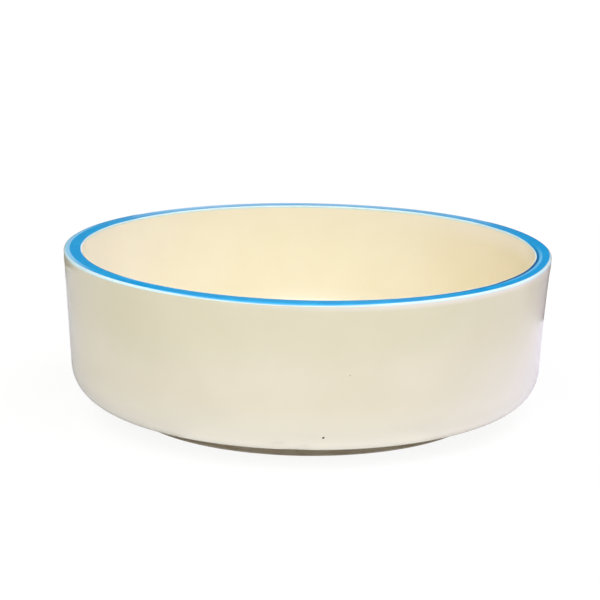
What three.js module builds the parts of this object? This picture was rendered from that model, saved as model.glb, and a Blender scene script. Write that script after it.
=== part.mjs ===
// Low stoneware serving bowl with a cream glaze, a blue glazed lip and a bare clay foot ring.
// Millimetres, +Z up. The origin is on the bowl's axis, at the level that the foot stands on.
// Every piece is a solid of revolution, and the glaze coats follow the clay at an even depth.

import * as THREE from 'three';

// Driving dimensions of the finished, glazed bowl
const RIM_DIAMETER = 200;
const BOWL_HEIGHT = 67;
const LIP_WIDTH = 7.3;
const LIP_OUTER_EDGE = 0.8;
const LIP_INNER_EDGE = 0.8;
const OUTER_LEAN = THREE.MathUtils.degToRad(3.2);
const INNER_LEAN = THREE.MathUtils.degToRad(4.0);
const HEEL_RADIUS = 14;
const FLOOR_THICKNESS = 7.5;
const INNER_FILLET = 17;

// Foot ring
const FOOT_DIAMETER = 148;
const FOOT_HEIGHT = 6.2;
const FOOT_WIDTH = 6.5;
const FOOT_EDGE = 1.0;
const FOOT_ROOT_FILLET = 4.2;

// Glaze coats: their depth, the hairline where a coat is fused to its neighbour,
// and the strip of bare clay that is wiped clean beside the foot
const COAT_DEPTH = 0.5;
const BOND_LINE = 0.05;
const BARE_STRIP = 0.4;

// Facets: steps round the axis and along each kind of arc
const TURN_STEPS = 64;
const LARGE_ARC_STEPS = 8;
const ROOT_ARC_STEPS = 4;
const EDGE_ARC_STEPS = 3;

// Levels and radii that follow from the driving dimensions
const CLAY_DEPTH = COAT_DEPTH + BOND_LINE;
const RIM_RADIUS = RIM_DIAMETER / 2;
const MOUTH_RADIUS = RIM_RADIUS - LIP_WIDTH;
const FLOOR_LEVEL = FOOT_HEIGHT + FLOOR_THICKNESS;
const FOOT_OUTER = FOOT_DIAMETER / 2;
const FOOT_INNER = FOOT_OUTER - FOOT_WIDTH;
const FOOT_TOP = FOOT_HEIGHT + COAT_DEPTH;
const RIGHT_ANGLE = Math.PI / 2;
const HALF_TURN = Math.PI;

// Roundings, held to the room they have: a root fillet to the side of the foot, a lip edge
// to no sharper than the coat that softens it, and the heel to the underside beside the foot
const ROOT_FILLET = Math.min(FOOT_ROOT_FILLET, FOOT_HEIGHT - FOOT_EDGE - BOND_LINE);
const ROOT_OUTER = FOOT_OUTER + ROOT_FILLET;
const ROOT_INNER = FOOT_INNER - ROOT_FILLET;
const GLAZE_LINE = ROOT_OUTER + BARE_STRIP;
const LEAST_LIP_EDGE = CLAY_DEPTH + BOND_LINE;
const OUTER_EDGE = Math.max(LIP_OUTER_EDGE, LEAST_LIP_EDGE);
const INNER_EDGE = Math.max(LIP_INNER_EDGE, LEAST_LIP_EDGE);
const HEEL_ROOM =
  ((RIM_RADIUS - GLAZE_LINE) * Math.cos(OUTER_LEAN) -
    (BOWL_HEIGHT - FOOT_HEIGHT) * Math.sin(OUTER_LEAN)) /
  (1 - Math.sin(OUTER_LEAN));
const HEEL = Math.min(HEEL_RADIUS, HEEL_ROOM - BOND_LINE);

// A rounding of the section: the centre and radius of an arc between two surfaces
function rounding(radius, x, y) {
  return { radius, centre: new THREE.Vector2(x, y) };
}

// Outer surface: the wall leans out from the heel to the lip
function outerRounding(radius, level) {
  const rise = BOWL_HEIGHT - level;
  const setIn = (radius + rise * Math.sin(OUTER_LEAN)) / Math.cos(OUTER_LEAN);
  return rounding(radius, RIM_RADIUS - setIn, level);
}

// Inner surface: side is 1 for an arc inside the clay and -1 for one in the hollow
function innerRounding(radius, level, side) {
  const rise = BOWL_HEIGHT - level;
  const offset = (side * radius - rise * Math.sin(INNER_LEAN)) / Math.cos(INNER_LEAN);
  return rounding(radius, MOUTH_RADIUS + offset, level);
}

const heel = outerRounding(HEEL, FOOT_HEIGHT + HEEL);
const lipOutside = outerRounding(OUTER_EDGE, BOWL_HEIGHT - OUTER_EDGE);
const lipInside = innerRounding(INNER_EDGE, BOWL_HEIGHT - INNER_EDGE, 1);
const fillet = innerRounding(INNER_FILLET, FLOOR_LEVEL + INNER_FILLET, -1);

// Points of an arc, grown or shrunk to lie that far from the finished surface
function arc({ radius, centre }, from, to, steps, growth = 0) {
  const size = radius + growth;
  const clockwise = to < from;
  const curve = new THREE.EllipseCurve(centre.x, centre.y, size, size, from, to, clockwise);
  return curve.getPoints(steps);
}

const point = (x, y) => new THREE.Vector2(x, y);

// The four roundings of the bowl's section, at a depth below the finished surface
const heelArc = (depth) => arc(heel, -RIGHT_ANGLE, -OUTER_LEAN, LARGE_ARC_STEPS, -depth);
const lipOutsideArc = (depth) =>
  arc(lipOutside, -OUTER_LEAN, RIGHT_ANGLE, EDGE_ARC_STEPS, -depth);
const lipInsideArc = (depth) =>
  arc(lipInside, RIGHT_ANGLE, HALF_TURN - INNER_LEAN, EDGE_ARC_STEPS, -depth);
const filletArc = (depth) => arc(fillet, -INNER_LEAN, -RIGHT_ANGLE, LARGE_ARC_STEPS, depth);

// Upper ends of the wall coats, a bond line below the lip band
const OUTER_COAT_TOP = lipOutside.centre.y - OUTER_EDGE * Math.sin(OUTER_LEAN) - BOND_LINE;
const LINER_TOP = lipInside.centre.y - BOND_LINE;

function outerWallPoint(level, depth) {
  const rise = BOWL_HEIGHT - level;
  return point(RIM_RADIUS - rise * Math.tan(OUTER_LEAN) - depth / Math.cos(OUTER_LEAN), level);
}

function innerWallPoint(level, depth) {
  const rise = BOWL_HEIGHT - level;
  return point(MOUTH_RADIUS - rise * Math.tan(INNER_LEAN) + depth / Math.cos(INNER_LEAN), level);
}

// Solid of revolution from a section that runs anticlockwise in radius and height
function turned(section) {
  return new THREE.LatheGeometry(section, TURN_STEPS).rotateX(RIGHT_ANGLE);
}

// A section that doesn't reach the axis closes on its first point
function turnedRing(section) {
  return turned([...section, section[0].clone()]);
}

// Fired clay: floor, heel, leaning wall and lip core in one shell
function clayBody() {
  return turned([
    point(0, FOOT_HEIGHT + CLAY_DEPTH),
    ...heelArc(CLAY_DEPTH),
    ...lipOutsideArc(CLAY_DEPTH),
    ...lipInsideArc(CLAY_DEPTH),
    ...filletArc(CLAY_DEPTH),
    point(0, FLOOR_LEVEL - CLAY_DEPTH),
  ]);
}

// Bare ring under the floor, with a rounded tread and a hollow fillet at each side of its root
function footRing() {
  const treadOutside = rounding(FOOT_EDGE, FOOT_OUTER - FOOT_EDGE, FOOT_EDGE);
  const treadInside = rounding(FOOT_EDGE, FOOT_INNER + FOOT_EDGE, FOOT_EDGE);
  const rootLevel = FOOT_HEIGHT - ROOT_FILLET;
  const rootOutside = rounding(ROOT_FILLET, ROOT_OUTER, rootLevel);
  const rootInside = rounding(ROOT_FILLET, ROOT_INNER, rootLevel);
  return turnedRing([
    ...arc(treadOutside, -RIGHT_ANGLE, 0, EDGE_ARC_STEPS),
    ...arc(rootOutside, HALF_TURN, RIGHT_ANGLE, ROOT_ARC_STEPS),
    point(ROOT_OUTER, FOOT_TOP),
    point(ROOT_INNER, FOOT_TOP),
    ...arc(rootInside, RIGHT_ANGLE, 0, ROOT_ARC_STEPS),
    ...arc(treadInside, HALF_TURN, HALF_TURN + RIGHT_ANGLE, EDGE_ARC_STEPS),
  ]);
}

// Cream coat outside, from the wiped strip beside the foot, round the heel and up the wall
function outerGlaze() {
  return turnedRing([
    point(GLAZE_LINE, FOOT_HEIGHT),
    ...heelArc(0),
    outerWallPoint(OUTER_COAT_TOP, 0),
    outerWallPoint(OUTER_COAT_TOP, COAT_DEPTH),
    ...heelArc(COAT_DEPTH).reverse(),
    point(GLAZE_LINE, FOOT_HEIGHT + COAT_DEPTH),
  ]);
}

// Cream coat inside, over the floor, round the fillet and up the wall
function linerGlaze() {
  return turned([
    point(0, FLOOR_LEVEL - COAT_DEPTH),
    ...filletArc(COAT_DEPTH).reverse(),
    innerWallPoint(LINER_TOP, COAT_DEPTH),
    innerWallPoint(LINER_TOP, 0),
    ...filletArc(0),
    point(0, FLOOR_LEVEL),
  ]);
}

// Blue coat over the flat lip and both of its rounded edges
function rimGlaze() {
  return turnedRing([
    ...lipOutsideArc(0),
    ...lipInsideArc(0),
    ...lipInsideArc(COAT_DEPTH).reverse(),
    ...lipOutsideArc(COAT_DEPTH).reverse(),
  ]);
}

// Cream coat on the underside, inside the foot ring
function baseGlaze() {
  const edge = ROOT_INNER - BARE_STRIP;
  return turned([
    point(0, FOOT_HEIGHT),
    point(edge, FOOT_HEIGHT),
    point(edge, FOOT_HEIGHT + COAT_DEPTH),
    point(0, FOOT_HEIGHT + COAT_DEPTH),
  ]);
}

// Finishes
const firedClay = new THREE.MeshStandardMaterial({ color: '#a99c88', roughness: 0.9, metalness: 0 });
const footClay = new THREE.MeshStandardMaterial({ color: '#8f8676', roughness: 0.92, metalness: 0 });
const creamGlaze = new THREE.MeshStandardMaterial({ color: '#e6dfca', roughness: 0.18, metalness: 0 });
const linerCream = new THREE.MeshStandardMaterial({ color: '#f2e6ca', roughness: 0.16, metalness: 0 });
const baseCream = new THREE.MeshStandardMaterial({ color: '#e2dac4', roughness: 0.22, metalness: 0 });
const blueGlaze = new THREE.MeshStandardMaterial({ color: '#1f9bdf', roughness: 0.12, metalness: 0 });

const bowl = new THREE.Group();
bowl.name = 'serving_bowl';

function add(name, geometry, material) {
  const mesh = new THREE.Mesh(geometry, material);
  mesh.name = name;
  bowl.add(mesh);
}

add('clay_body', clayBody(), firedClay);
add('foot_ring', footRing(), footClay);
add('outer_glaze', outerGlaze(), creamGlaze);
add('liner_glaze', linerGlaze(), linerCream);
add('rim_glaze', rimGlaze(), blueGlaze);
add('base_glaze', baseGlaze(), baseCream);

export default bowl;
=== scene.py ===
"""Looks of a low stoneware serving bowl: cream glaze, a blue glazed lip and a bare clay foot.

Every piece is turned about +Z from a section in radius and height, with the small unevenness
of a glazed and fired pot. Lengths are in metres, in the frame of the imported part. Azimuths are
in degrees, counted to the right from the front of the bowl.
"""

import logging
import math
from abc import ABC, abstractmethod
from dataclasses import dataclass
from enum import Enum
from typing import ClassVar

import bmesh
import bpy
import numpy as np
from mathutils import Matrix, Vector


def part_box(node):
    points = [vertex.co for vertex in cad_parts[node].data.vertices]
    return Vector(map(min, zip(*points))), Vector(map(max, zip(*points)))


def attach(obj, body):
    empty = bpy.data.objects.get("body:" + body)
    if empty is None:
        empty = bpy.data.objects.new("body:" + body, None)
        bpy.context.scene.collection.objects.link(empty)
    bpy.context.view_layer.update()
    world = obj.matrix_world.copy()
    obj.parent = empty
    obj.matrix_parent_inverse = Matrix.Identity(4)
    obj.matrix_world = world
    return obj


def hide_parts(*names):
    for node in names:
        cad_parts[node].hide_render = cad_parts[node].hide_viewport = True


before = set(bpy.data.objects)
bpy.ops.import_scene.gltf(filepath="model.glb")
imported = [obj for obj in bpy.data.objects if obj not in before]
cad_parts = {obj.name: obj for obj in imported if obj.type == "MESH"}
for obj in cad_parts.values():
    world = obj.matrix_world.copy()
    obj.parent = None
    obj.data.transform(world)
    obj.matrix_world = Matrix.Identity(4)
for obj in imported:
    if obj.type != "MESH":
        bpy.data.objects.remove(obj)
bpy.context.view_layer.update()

log = logging.getLogger("serving_bowl")

MM = 0.001
QUARTER = math.pi / 2
FULL_TURN = 2 * math.pi
SHARP_ANGLE = math.radians(50)
LEAST_ARC_STEPS = 6
LEAST_GAP = 1e-3 * MM
WHITE = (1.0, 1.0, 1.0, 1.0)

Colour = tuple[float, float, float, float]
Span = tuple[float, float]
Point = tuple[float, float]
Socket = bpy.types.NodeSocket
Value = Socket | Colour | float


class Slot(Enum):
    """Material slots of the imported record."""

    FIRED_CLAY = "fired_clay"
    FOOT_CLAY = "foot_clay"
    CREAM_GLAZE = "cream_glaze"
    LINER_CREAM = "liner_cream"
    BLUE_GLAZE = "blue_glaze"
    BASE_CREAM = "base_cream"


class Face(Enum):
    """What a stretch of a section makes: a face that shows, a small edge, or a bonded face."""

    SHOWN = 0.6 * MM
    EDGE = 0.11 * MM
    BONDED = 4.0 * MM

    @property
    def spacing(self) -> float:
        """Distance between the points along such a stretch."""
        return self.value


class Mark(Enum):
    """Values kept on a piece's points, which its finish reads. A value that isn't kept is 0."""

    # Glaze laid thinly, and also painted shade and painted sheen.
    THIN_AND_PAINTED_LIGHT = "thin_and_painted_light"
    # Glaze that pools, and also painted bounce light and painted shade.
    POOL_AND_PAINTED_LIGHT = "pool"
    SMUDGE = "smudge"
    # Painted light and painted highlights.
    PAINTED_LIGHT = "painted_light"
    WEAR = "wear"
    SHADE = "shade"


def from_screen(red: int, green: int, blue: int) -> Colour:
    """Turn a screen colour into the linear one that a shader takes.

    Args:
        red: Red share, 0 to 255.
        green: Green share, 0 to 255.
        blue: Blue share, 0 to 255.

    Returns:
        The linear colour, with full alpha.
    """
    full, toe_end, toe_slope, offset, gamma = 255, 0.04045, 12.92, 0.055, 2.4
    linear = []
    for share in (red / full, green / full, blue / full):
        curved = ((share + offset) / (1 + offset)) ** gamma
        linear.append(share / toe_slope if share <= toe_end else curved)
    return (linear[0], linear[1], linear[2], 1.0)


def grey(level: float) -> Colour:
    """Linear grey of a level."""
    return (level, level, level, 1.0)


def smooth_step(
    value: np.ndarray, low: float | np.ndarray, high: float | np.ndarray
) -> np.ndarray:
    """Rise smoothly from 0 at low to 1 at high."""
    share = np.clip((value - low) / (high - low), 0.0, 1.0)
    return share * share * (3 - 2 * share)


def hump(distance: np.ndarray, width: float, power: int = 2) -> np.ndarray:
    """Share that is 1 at no distance and fades to about a third at a width."""
    return np.exp(-((distance / width) ** power))


def turn_to(azimuth: float) -> float:
    """Turn angle from +X of a place seen that many degrees right of the front."""
    return math.radians(azimuth) - QUARTER


def turn_gap(turn: np.ndarray, azimuth: float) -> np.ndarray:
    """Signed angle from an azimuth to each turn angle, by the shorter way."""
    return np.angle(np.exp(1j * (turn - turn_to(azimuth))))


@dataclass(frozen=True)
class Side:
    """A side of the bowl: its middle, and how far it reaches to either hand before it fades."""

    azimuth: float
    reach: float
    power: int = 4

    def share(self, turn: np.ndarray) -> np.ndarray:
        """Share that is 1 in the middle and fades to about a third at the reach."""
        return hump(turn_gap(turn, self.azimuth), math.radians(self.reach), self.power)


@dataclass(frozen=True)
class Stretch:
    """Part of a section: its points in radius and height, and the kind of face they make."""

    points: np.ndarray
    face: Face

    @property
    def first(self) -> Point:
        """First point."""
        return tuple(self.points[0])

    @property
    def last(self) -> Point:
        """Last point."""
        return tuple(self.points[-1])

    def back(self) -> "Stretch":
        """The same stretch, run the other way."""
        return Stretch(self.points[::-1], self.face)


def line(start: Point, end: Point, face: Face) -> Stretch:
    """Straight stretch between two points.

    Args:
        start: Radius and height of its first point.
        end: Radius and height of its last point.
        face: What the stretch makes, which sets the spacing.

    Returns:
        The stretch.
    """
    steps = max(1, math.ceil(math.dist(start, end) / face.spacing))
    share = np.linspace(0.0, 1.0, steps + 1)[:, None]
    return Stretch(np.array(start) * (1 - share) + np.array(end) * share, face)


def path(face: Face, *corners: Point) -> list[Stretch]:
    """Straight stretches from corner to corner, all making the same kind of face."""
    return [line(start, end, face) for start, end in zip(corners, corners[1:])]


@dataclass(frozen=True)
class Rounding:
    """An arc of a section: its centre and radius."""

    radius: float
    x: float
    z: float

    def arc(self, start: float, end: float, face: Face, grow: float = 0.0) -> Stretch:
        """Stretch along the arc between two angles.

        Args:
            start: Angle of the first point.
            end: Angle of the last point.
            face: What the stretch makes, which sets the spacing.
            grow: Length added to the radius.

        Returns:
            The stretch.
        """
        radius = self.radius + grow
        steps = max(LEAST_ARC_STEPS, math.ceil(radius * abs(end - start) / face.spacing))
        angle = np.linspace(start, end, steps + 1)
        x, z = self.x + radius * np.cos(angle), self.z + radius * np.sin(angle)
        return Stretch(np.stack([x, z], -1), face)


@dataclass(frozen=True)
class BowlSizes:
    """Sizes of the finished bowl. The first six come from the frame."""

    height: float
    floor_level: float
    foot_height: float
    coat: float
    root_outer: float
    base_edge: float
    rim_diameter: float = 200 * MM
    lip_width: float = 7.3 * MM
    lip_edge: float = 0.8 * MM
    outer_lean: float = math.radians(3.2)
    inner_lean: float = math.radians(4.0)
    heel_radius: float = 14 * MM
    fillet_radius: float = 17 * MM
    foot_diameter: float = 148 * MM
    foot_width: float = 6.5 * MM
    foot_edge: float = 1.0 * MM
    bare_strip: float = 0.4 * MM
    bond_line: float = 0.05 * MM

    @classmethod
    def from_frame(cls) -> "BowlSizes":
        """Read the levels and reaches that the frame's nodes give.

        Returns:
            The sizes.
        """
        base_low, base_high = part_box("base_glaze")
        coat = base_high.z - base_low.z
        return cls(
            height=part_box("rim_glaze")[1].z,
            floor_level=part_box("liner_glaze")[0].z + coat,
            foot_height=base_low.z,
            coat=coat,
            root_outer=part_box("foot_ring")[1].x,
            base_edge=base_high.x,
        )

    @property
    def clay_depth(self) -> float:
        """Depth of the clay under the finished surface."""
        return self.coat + self.bond_line

    @property
    def rim_radius(self) -> float:
        """Radius where the outer wall would meet the lip's level."""
        return self.rim_diameter / 2

    @property
    def mouth_radius(self) -> float:
        """Radius where the inner wall would meet the lip's level."""
        return self.rim_radius - self.lip_width

    @property
    def foot_outer(self) -> float:
        """Outer radius of the foot ring's side."""
        return self.foot_diameter / 2

    @property
    def foot_inner(self) -> float:
        """Inner radius of the foot ring's side."""
        return self.foot_outer - self.foot_width

    @property
    def root_fillet(self) -> float:
        """Radius of the hollow fillet at the foot ring's root."""
        return self.root_outer - self.foot_outer

    @property
    def glaze_line(self) -> float:
        """Radius where the outer glaze ends, beside the foot."""
        return self.root_outer + self.bare_strip

    def outer_rounding(self, radius: float, level: float) -> Rounding:
        """Arc that touches the outer wall from inside.

        Args:
            radius: Radius of the arc.
            level: Level of its centre.

        Returns:
            The arc.
        """
        rise = self.height - level
        set_in = (radius + rise * math.sin(self.outer_lean)) / math.cos(self.outer_lean)
        return Rounding(radius, self.rim_radius - set_in, level)

    def inner_rounding(self, radius: float, level: float, side: int) -> Rounding:
        """Arc that touches the inner wall.

        Args:
            radius: Radius of the arc.
            level: Level of its centre.
            side: 1 for an arc in the clay, -1 for one in the hollow.

        Returns:
            The arc.
        """
        rise = self.height - level
        offset = (side * radius - rise * math.sin(self.inner_lean)) / math.cos(self.inner_lean)
        return Rounding(radius, self.mouth_radius + offset, level)

    @property
    def heel(self) -> Rounding:
        """Rounding between the underside and the outer wall."""
        return self.outer_rounding(self.heel_radius, self.foot_height + self.heel_radius)

    @property
    def lip_outside(self) -> Rounding:
        """Outer edge of the lip."""
        return self.outer_rounding(self.lip_edge, self.height - self.lip_edge)

    @property
    def lip_inside(self) -> Rounding:
        """Inner edge of the lip."""
        return self.inner_rounding(self.lip_edge, self.height - self.lip_edge, 1)

    @property
    def fillet(self) -> Rounding:
        """Hollow rounding between the floor and the inner wall."""
        return self.inner_rounding(self.fillet_radius, self.floor_level + self.fillet_radius, -1)

    @property
    def outer_coat_top(self) -> float:
        """Level where the outer glaze ends under the lip band."""
        lip = self.lip_outside
        return lip.z - lip.radius * math.sin(self.outer_lean) - self.bond_line

    @property
    def liner_top(self) -> float:
        """Level where the liner ends under the lip band."""
        return self.lip_inside.z - self.bond_line

    def outer_wall(self, level: float, depth: float = 0.0) -> Point:
        """Point of the outer wall at a level and a depth below the surface."""
        radius = self.rim_radius - (self.height - level) * math.tan(self.outer_lean)
        return (radius - depth / math.cos(self.outer_lean), level)

    def inner_wall(self, level: float, depth: float = 0.0) -> Point:
        """Point of the inner wall at a level and a depth below the surface."""
        radius = self.mouth_radius - (self.height - level) * math.tan(self.inner_lean)
        return (radius + depth / math.cos(self.inner_lean), level)

    def heel_arc(self, face: Face, depth: float = 0.0) -> Stretch:
        """Heel from the underside to the wall, at a depth."""
        return self.heel.arc(-QUARTER, -self.outer_lean, face, -depth)

    def lip_outside_arc(self, face: Face, depth: float = 0.0) -> Stretch:
        """Outer lip edge from the wall to the top, at a depth."""
        return self.lip_outside.arc(-self.outer_lean, QUARTER, face, -depth)

    def lip_inside_arc(self, face: Face, depth: float = 0.0) -> Stretch:
        """Inner lip edge from the top to the wall, at a depth."""
        return self.lip_inside.arc(QUARTER, math.pi - self.inner_lean, face, -depth)

    def fillet_arc(self, face: Face, depth: float = 0.0) -> Stretch:
        """Inner fillet from the wall to the floor, at a depth."""
        return self.fillet.arc(-self.inner_lean, -QUARTER, face, depth)


@dataclass(frozen=True)
class FiredWarp:
    """Slight warp that the pot took in the kiln, growing from the foot to the lip."""

    tilt: float = -0.0080
    saddle: float = 0.00486
    right_rise: float = 0.5 * MM
    back_drop: float = 0.3 * MM
    reach: float = 100 * MM
    lean_azimuth: float = 95.0
    lip_lean: float = 0.6 * MM
    waist_lean: float = -0.5 * MM
    mouth_lean: float = 1.3 * MM
    foot_fade: Span = (4 * MM, 20 * MM)
    wall_fade: Span = (55 * MM, 85 * MM)

    def lift(self, x: np.ndarray, y: np.ndarray, z: np.ndarray, height: float) -> np.ndarray:
        """Height that the warp adds to points.

        Args:
            x: Places along X.
            y: Places along Y.
            z: Levels before the warp.
            height: Height of the bowl.

        Returns:
            The lift of each point.
        """
        at_lip = self.tilt * x + self.saddle * x * y / self.reach
        at_lip = at_lip + self.right_rise * np.maximum(x / self.reach, 0.0) ** 2
        at_lip = at_lip - self.back_drop * np.maximum(y / self.reach, 0.0) ** 2
        return at_lip * z / height

    def lean(
        self, turn: np.ndarray, radius: np.ndarray, level: np.ndarray, sizes: BowlSizes
    ) -> np.ndarray:
        """Outward shift of the side that leaned out at the lip and drew in at its waist.

        Args:
            turn: Turn angles.
            radius: Radii before the shift.
            level: Levels before the shift.
            sizes: Sizes of the bowl.

        Returns:
            The shift of each point, outward.
        """
        side = np.maximum(np.cos(turn - turn_to(self.lean_azimuth)), 0.0) ** 2
        rise = level / sizes.height
        # The outside follows a parabola from the table, through its waist at half height, to the lip
        bend = 2 * self.lip_lean - 4 * self.waist_lean
        outside = bend * rise**2 + (self.lip_lean - bend) * rise
        inside = self.mouth_lean * rise**3
        share = np.clip((sizes.rim_radius - radius) / sizes.lip_width, 0.0, 1.0)
        fade = smooth_step(level, *self.foot_fade) * smooth_step(radius, *self.wall_fade)
        return side * fade * (outside * (1 - share) + inside * share)


@dataclass(frozen=True)
class Ripple:
    """Soft uneven swell of a surface, summed from a few waves round the bowl and along it."""

    height: float
    lobes: int
    pitch: float
    seed: int
    terms: int = 10

    def over(self, turn: np.ndarray, run: np.ndarray | float) -> np.ndarray:
        """Height of the swell.

        Args:
            turn: Turn angles.
            run: Lengths along the section.

        Returns:
            The height at each place.
        """
        draw = np.random.default_rng(self.seed)
        total = np.zeros(np.broadcast(turn, run).shape)
        for _ in range(self.terms):
            lobes = draw.integers(1, self.lobes + 1)
            rate = draw.uniform(-1.0, 1.0) * FULL_TURN / self.pitch
            phase = draw.uniform(0.0, FULL_TURN)
            total += np.cos(lobes * turn + rate * run + phase)
        return self.height * total / math.sqrt(self.terms)


class Section:
    """Outline of a turned piece, run anticlockwise in radius and height."""

    def __init__(self, *stretches: Stretch) -> None:
        """Join the stretches, dropping points that repeat.

        Args:
            stretches: The stretches, in order.
        """
        points = np.concatenate([part.points for part in stretches])
        shown = [np.full(len(part.points), part.face is not Face.BONDED) for part in stretches]
        step = np.linalg.norm(np.diff(points, axis=0, append=points[:1]), axis=1)
        self.on_axis = bool(points[0, 0] < LEAST_GAP and points[-1, 0] < LEAST_GAP)
        keep = step > LEAST_GAP
        keep[-1] = self.on_axis or keep[-1]
        self.points = points[keep]
        self.shown = np.concatenate(shown)[keep].astype(float)
        gaps = np.linalg.norm(np.diff(self.points, axis=0), axis=1)
        self.run = np.concatenate([[0.0], np.cumsum(gaps)])

    @property
    def normals(self) -> np.ndarray:
        """Outward direction at each point.

        Returns:
            The directions in radius and height, one to a row.
        """
        before = np.roll(self.points, 1, axis=0)
        after = np.roll(self.points, -1, axis=0)
        if self.on_axis:
            before[0] = self.points[0]
            after[-1] = self.points[-1]
        way = after - before
        way /= np.linalg.norm(way, axis=1)[:, None]
        return np.stack([way[:, 1], -way[:, 0]], -1)


@dataclass(frozen=True)
class Places:
    """Where the points of a turned piece lie, before its relief."""

    turn: np.ndarray
    radius: np.ndarray
    level: np.ndarray
    run: np.ndarray
    shown: np.ndarray

    @property
    def none(self) -> np.ndarray:
        """A 0 for each point."""
        return np.zeros(np.broadcast(self.turn, self.run).shape)


@dataclass(frozen=True)
class Patch:
    """A soft patch on the outside: the place of its middle, its width and its height."""

    azimuth: float
    level: float
    width: float
    height: float

    def share(self, at: Places) -> np.ndarray:
        """Share that is 1 in the middle and fades out round it."""
        across = turn_gap(at.turn, self.azimuth) * at.radius
        return hump(across, self.width) * hump(at.level - self.level, self.height)


class NodeGraph:
    """A node tree, grown a node at a time."""

    def __init__(self, tree: bpy.types.NodeTree) -> None:
        """Take up a tree."""
        self.nodes = tree.nodes
        self.links = tree.links

    def feed(self, node: bpy.types.Node, inputs: dict[str | int, Value]) -> None:
        """Link or set a node's inputs.

        Args:
            node: The node.
            inputs: Socket, colour or number for each input, by its name or place.
        """
        for key, value in inputs.items():
            if isinstance(value, Socket):
                self.links.new(value, node.inputs[key])
            else:
                node.inputs[key].default_value = value

    def add(
        self, kind: str, inputs: dict[str | int, Value] | None = None, **options: str
    ) -> bpy.types.bpy_prop_collection:
        """Add a node.

        Args:
            kind: Its type, after the words that start every shader node's type.
            inputs: What goes into it.
            options: Its other settings.

        Returns:
            The node's outputs.
        """
        node = self.nodes.new(f"ShaderNode{kind}")
        for name, choice in options.items():
            setattr(node, name, choice)
        self.feed(node, inputs or {})
        return node.outputs

    def graded(self, value: Socket, source: Span, target: Span) -> Socket:
        """Map the ends of one span of values to those of another, and hold what lies beyond."""
        ends = {"From Min": source[0], "From Max": source[1], "To Min": target[0], "To Max": target[1]}
        return self.add("MapRange", {"Value": value, **ends})["Result"]

    def larger(self, first: Socket, second: Socket) -> Socket:
        """Larger of two values."""
        return self.add("Math", {0: first, 1: second}, operation="MAXIMUM")[0]

    def summed(self, first: Socket, second: Socket) -> Socket:
        """Two shaders added up."""
        return self.add("AddShader", {0: first, 1: second})[0]

    def chosen(self, share: Socket, first: Socket, second: Socket) -> Socket:
        """First shader where the share is 0, the second where it is 1."""
        return self.add("MixShader", {0: share, 1: first, 2: second})[0]


class FinishGraph(NodeGraph):
    """Node tree of one finish."""

    def __init__(self, name: str) -> None:
        """Start a material with its surface shader and object coordinates.

        Args:
            name: Name of the material.
        """
        self.material = bpy.data.materials.new(name)
        self.material.use_nodes = True
        super().__init__(self.material.node_tree)
        self.surface = self.nodes["Principled BSDF"]
        self.place = self.add("TexCoord")["Object"]

    def noise(self, size: float, detail: float) -> Socket:
        """Cloudy pattern of values round a half: size of its clouds, and octaves of finer ones."""
        inputs = {"Vector": self.place, "Scale": 1.0 / size, "Detail": detail}
        return self.add("TexNoise", inputs)["Fac"]

    def clouds(
        self, size: float, detail: float, spread: float, target: Span = (0.0, 1.0)
    ) -> Socket:
        """Cloudy pattern over a whole span, whose ends it reaches at a spread from a half."""
        return self.graded(self.noise(size, detail), (0.5 - spread, 0.5 + spread), target)

    def mark(self, mark: Mark) -> Socket:
        """Value kept on the piece's points."""
        return self.add("Attribute", attribute_name=mark.value)["Fac"]

    def blend(self, share: Socket, first: Socket | Colour, second: Socket | Colour) -> Socket:
        """Mix two colours.

        Args:
            share: Socket that says how much of the second colour shows.
            first: Colour, or socket of one.
            second: Colour, or socket of one.

        Returns:
            Socket of the mixed colour.
        """
        factor, first_in, second_in, mixed = 0, 6, 7, 2
        inputs = {factor: share, first_in: first, second_in: second}
        return self.add("Mix", inputs, data_type="RGBA")[mixed]

    def relief(self, layers: list[tuple[Socket, float]]) -> None:
        """Give the surface fine relief.

        Args:
            layers: Pattern and depth of each layer.
        """
        under: dict[str | int, Value] = {}
        for pattern, depth in layers:
            bump = self.add("Bump", {"Height": pattern, "Distance": depth, **under})
            under = {"Normal": bump["Normal"]}
        self.feed(self.surface, under)


@dataclass(frozen=True)
class CreamGlaze:
    """Opaque cream glaze: cloudy, coloured where it lies thinly, pools and is smudged, and by painted
    light.
    """

    name: str
    body: Colour
    cloud: Colour
    thin_and_painted_light: Colour = from_screen(196, 176, 142)
    # Colour where the glaze pools; the outer coat passes a whiter one as painted bounce light.
    pooled_and_painted_light: Colour = from_screen(226, 212, 172)
    smudge: Colour = from_screen(176, 170, 158)
    # Pale tint that is painted light.
    painted_light_tint: Colour = from_screen(226, 221, 220)
    sheen: Span = (0.13, 0.22)
    cloud_size: float = 34 * MM
    peel_size: float = 3.2 * MM
    peel_depth: float = 0.008 * MM

    def material(self) -> bpy.types.Material:
        """Build the glaze's shader.

        Returns:
            The material.
        """
        graph = FinishGraph(self.name)
        clouds = graph.clouds(self.cloud_size, detail=4.0, spread=0.16)
        colour = graph.blend(clouds, self.body, self.cloud)
        # Where the pieces mark them, the thinness and pool layers also lay painted shade and painted
        # bounce light.
        layers = {
            Mark.POOL_AND_PAINTED_LIGHT: self.pooled_and_painted_light,
            Mark.THIN_AND_PAINTED_LIGHT: self.thin_and_painted_light,
            Mark.PAINTED_LIGHT: self.painted_light_tint,
            Mark.SMUDGE: self.smudge,
        }
        for mark, layer in layers.items():
            colour = graph.blend(graph.mark(mark), colour, layer)
        haze = graph.clouds(self.cloud_size / 2, detail=3.0, spread=0.15, target=self.sheen)
        graph.feed(graph.surface, {"Base Color": colour, "Roughness": haze})
        peel = graph.noise(self.peel_size, detail=1.0)
        fine = graph.noise(self.peel_size / 4, detail=0.0)
        graph.relief([(peel, self.peel_depth), (fine, self.peel_depth / 8)])
        return graph.material


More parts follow.
